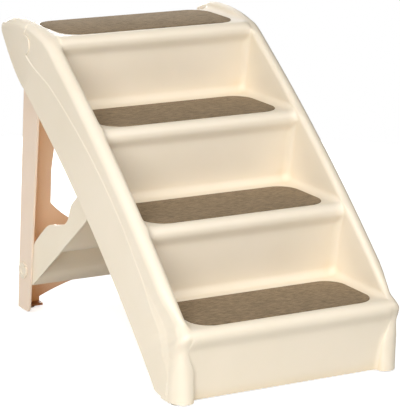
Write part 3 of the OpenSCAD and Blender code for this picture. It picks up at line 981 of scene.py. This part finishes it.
# Refined copies of the plainer moulded parts
def refined(node, name, material, body, width, segments=3, reshape=None):
    bm = bmesh.new()
    bm.from_mesh(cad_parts[node].data)
    bmesh.ops.remove_doubles(bm, verts=bm.verts[:], dist=0.00002)
    if reshape:
        reshape(bm)
    bmesh.ops.dissolve_limit(bm, angle_limit=math.radians(1), verts=bm.verts[:], edges=bm.edges[:])
    made = toObject(bm, name, [material], body, [node], angle=30)
    return bevelled(made, width * 0.001, segments)


# Rear leg: its inner corner is widened to a broad hollow between flange and panel
leg = {"lean": 3.25, "halfWidth": 195.5, "wall": 3.5, "back": 22.6, "corner": 3.5, "hollow": 24}


def widenCorner(bm):
    turn = Matrix.Rotation(math.radians(leg["lean"]), 3, "X")
    pin = point(0, hingeY, hingeZ)
    cornerX = leg["halfWidth"] - leg["wall"] - leg["corner"]
    cornerY = leg["back"] - leg["wall"] - leg["corner"]
    moved = 0
    for vert in bm.verts:
        place = (turn.transposed() @ (vert.co - pin)) * 1000
        side = 1 if place.x > 0 else -1
        away = Vector((abs(place.x) - cornerX, place.y - cornerY))
        if min(away) > -0.05 and abs(away.length - leg["corner"]) < 0.1:
            grown = away.normalized() * leg["hollow"]
            back = leg["hollow"] - leg["corner"]
            place.x = side * (cornerX - back + grown.x)
            place.y = cornerY - back + grown.y
            vert.co = turn @ (place * 0.001) + pin
            moved += 1
    print("leg corner:", moved, "points widened")


# Brace: the lower band of its web sags backwards
web = {
    "inside": 188.3,
    "rise": 39.0,
    "reach": 313.0,
    "from": 0.15,
    "to": 0.25,
    "sag": 6,
    "pivotY": 243.677,
    "pivotZ": 72.643,
}


def sagWeb(bm):
    rise = math.radians(web["rise"])
    along = Vector((0, -math.cos(rise), math.sin(rise)))
    pivot = point(0, web["pivotY"], web["pivotZ"])
    wide = web["inside"] * 0.001
    span = (web["to"] - web["from"]) * web["reach"] * 0.001
    start = web["from"] * web["reach"] * 0.001
    band = [f for f in bm.faces if all(abs(v.co.x) < wide for v in f.verts)]
    for i in range(1, 9):
        geom = [g for f in band if f.is_valid for g in [f, *f.edges, *f.verts]]
        cut = pivot + along * (start + span * i / 9)
        geom = list(dict.fromkeys(geom))
        bmesh.ops.bisect_plane(bm, geom=geom, dist=0.000001, plane_co=cut, plane_no=along)
        band = [f for f in bm.faces if all(abs(v.co.x) < wide for v in f.verts)]
    for vert in bm.verts:
        share = ((vert.co - pivot).dot(along) - start) / span
        if abs(vert.co.x) < wide and 0 < share < 1:
            vert.co.y += web["sag"] * 0.001 * math.sin(math.pi * share**1.4)


refined("rear_leg", "leg_frame", legPlastic, "leg", 1.2, reshape=widenCorner)
refined("brace", "brace_frame", bracePlastic, "brace", 0.9, reshape=sagWeb)
for side in ("left", "right"):
    refined(f"hinge_pin_{side}", f"hinge_cap_{side}", shellPlastic, "stairs", 0.9)
    refined(f"brace_pin_{side}", f"brace_boss_{side}", shellPlastic, "leg", 0.4)
for name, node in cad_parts.items():
    if name.startswith("hinge_clip"):
        node.data.materials.clear()
        node.data.materials.append(clipRubber)
    if name.startswith(("front_foot", "rear_foot")):
        node.data.materials.clear()
        node.data.materials.append(footRubber)
print("leg, brace and pins made")


# Studio: large soft lamps over a white floor
def areaLamp(name, place, target, wide, power):
    data = bpy.data.lights.new(name, "AREA")
    data.shape = "RECTANGLE"
    data.size, data.size_y = wide
    data.energy = power
    lamp = bpy.data.objects.new(name, data)
    bpy.context.scene.collection.objects.link(lamp)
    lamp.location = place
    lamp.rotation_euler = (Vector(target) - Vector(place)).to_track_quat("-Z", "Y").to_euler()
    return lamp


areaLamp("Left softbox", (-1.99, -1.15, 1.86), (0, 0, 0.25), (1.8, 1.8), 38)
areaLamp("Front left softbox", (-0.68, -1.86, 2.23), (0, 0, 0.25), (1.8, 1.8), 34)
areaLamp("Front right fill", (0.83, -2.28, 1.65), (0, 0, 0.25), (1.8, 1.8), 16)
areaLamp("Low strip light", (-1.59, -2.04, 0.47), (0, 0, 0.2), (1.4, 0.5), 20)
areaLamp("Low rear fill", (0.6, 2.6, 0.5), (0, 0.2, 0.2), (1.0, 0.8), 40)
areaLamp("Rear left fill", (-1.67, 1.67, 1.35), (0, 0, 0.25), (1.8, 1.8), 16)
areaLamp("Rear fill", (0.8, 2.4, 1.3), (0, 0, 0.25), (1.8, 1.8), 26)

bm = bmesh.new()
bmesh.ops.create_circle(bm, cap_ends=True, segments=96, radius=1.5)
floorMesh = bpy.data.meshes.new("Floor")
bm.to_mesh(floorMesh)
bm.free()
floorMaterial, floorTree = newMaterial("White studio floor")
paint = addNode(floorTree, "ShaderNodeBsdfDiffuse", {"Color": srgb("d6d6d4")})
glow = addNode(floorTree, "ShaderNodeEmission", {"Color": (1, 1, 1, 1), "Strength": 0.66})
seen = addNode(floorTree, "ShaderNodeLightPath")
shade = addNode(floorTree, "ShaderNodeAddShader", {0: paint.outputs[0], 1: glow.outputs[0]})
both = addNode(floorTree, "ShaderNodeMixShader", {0: seen.outputs["Is Camera Ray"]})
floorTree.links.new(paint.outputs[0], both.inputs[1])
floorTree.links.new(shade.outputs[0], both.inputs[2])
finishMaterial(floorTree, both)
floorMesh.materials.append(floorMaterial)
floor = bpy.data.objects.new("Floor", floorMesh)
bpy.context.scene.collection.objects.link(floor)

world = bpy.data.worlds.new("Studio")
bpy.context.scene.world = world
world.use_nodes = True
worldTree = world.node_tree
worldTree.nodes.clear()
path = addNode(worldTree, "ShaderNodeLightPath")
plain = addNode(worldTree, "ShaderNodeBackground", {"Color": (1, 0.99, 0.97, 1), "Strength": 0.1})
white = addNode(worldTree, "ShaderNodeBackground", {"Color": (1, 1, 1, 1), "Strength": 1.0})
pick = addNode(worldTree, "ShaderNodeMixShader", {0: path.outputs["Is Camera Ray"]})
worldTree.links.new(plain.outputs[0], pick.inputs[1])
worldTree.links.new(white.outputs[0], pick.inputs[2])
worldOut = addNode(worldTree, "ShaderNodeOutputWorld")
worldTree.links.new(pick.outputs[0], worldOut.inputs["Surface"])


# Camera matched to the photograph
shot = {
    "azimuth": -29.8552,
    "elevation": 14.5454,
    "roll": 1.0661,
    "distance": 4.05625,
    "across": 0.0121216,
    "up": 0.2205513,
    "lens": 213.45,
    "shiftY": -0.005,
}
turn, rise, roll = (math.radians(shot[n]) for n in ("azimuth", "elevation", "roll"))
back = Vector((math.sin(turn) * math.cos(rise), -math.cos(turn) * math.cos(rise), math.sin(rise)))
right = (-back).cross(Vector((0, 0, 1))).normalized()
upward = right.cross(-back)
camRight = math.cos(roll) * right + math.sin(roll) * upward
camUp = -math.sin(roll) * right + math.cos(roll) * upward
cameraData = bpy.data.cameras.new("Camera")
cameraData.lens = shot["lens"]
cameraData.sensor_width = 36
cameraData.clip_end = 40
camera = bpy.data.objects.new("Camera", cameraData)
bpy.context.scene.collection.objects.link(camera)
place = back * shot["distance"] + camRight * shot["across"] + camUp * shot["up"]
place.y += shot["shiftY"]
turned = Matrix((camRight, camUp, back)).transposed().to_4x4()
camera.matrix_world = Matrix.Translation(place) @ turned
bpy.context.scene.camera = camera
bpy.context.scene.view_settings.view_transform = "Standard"
print("studio and camera set")
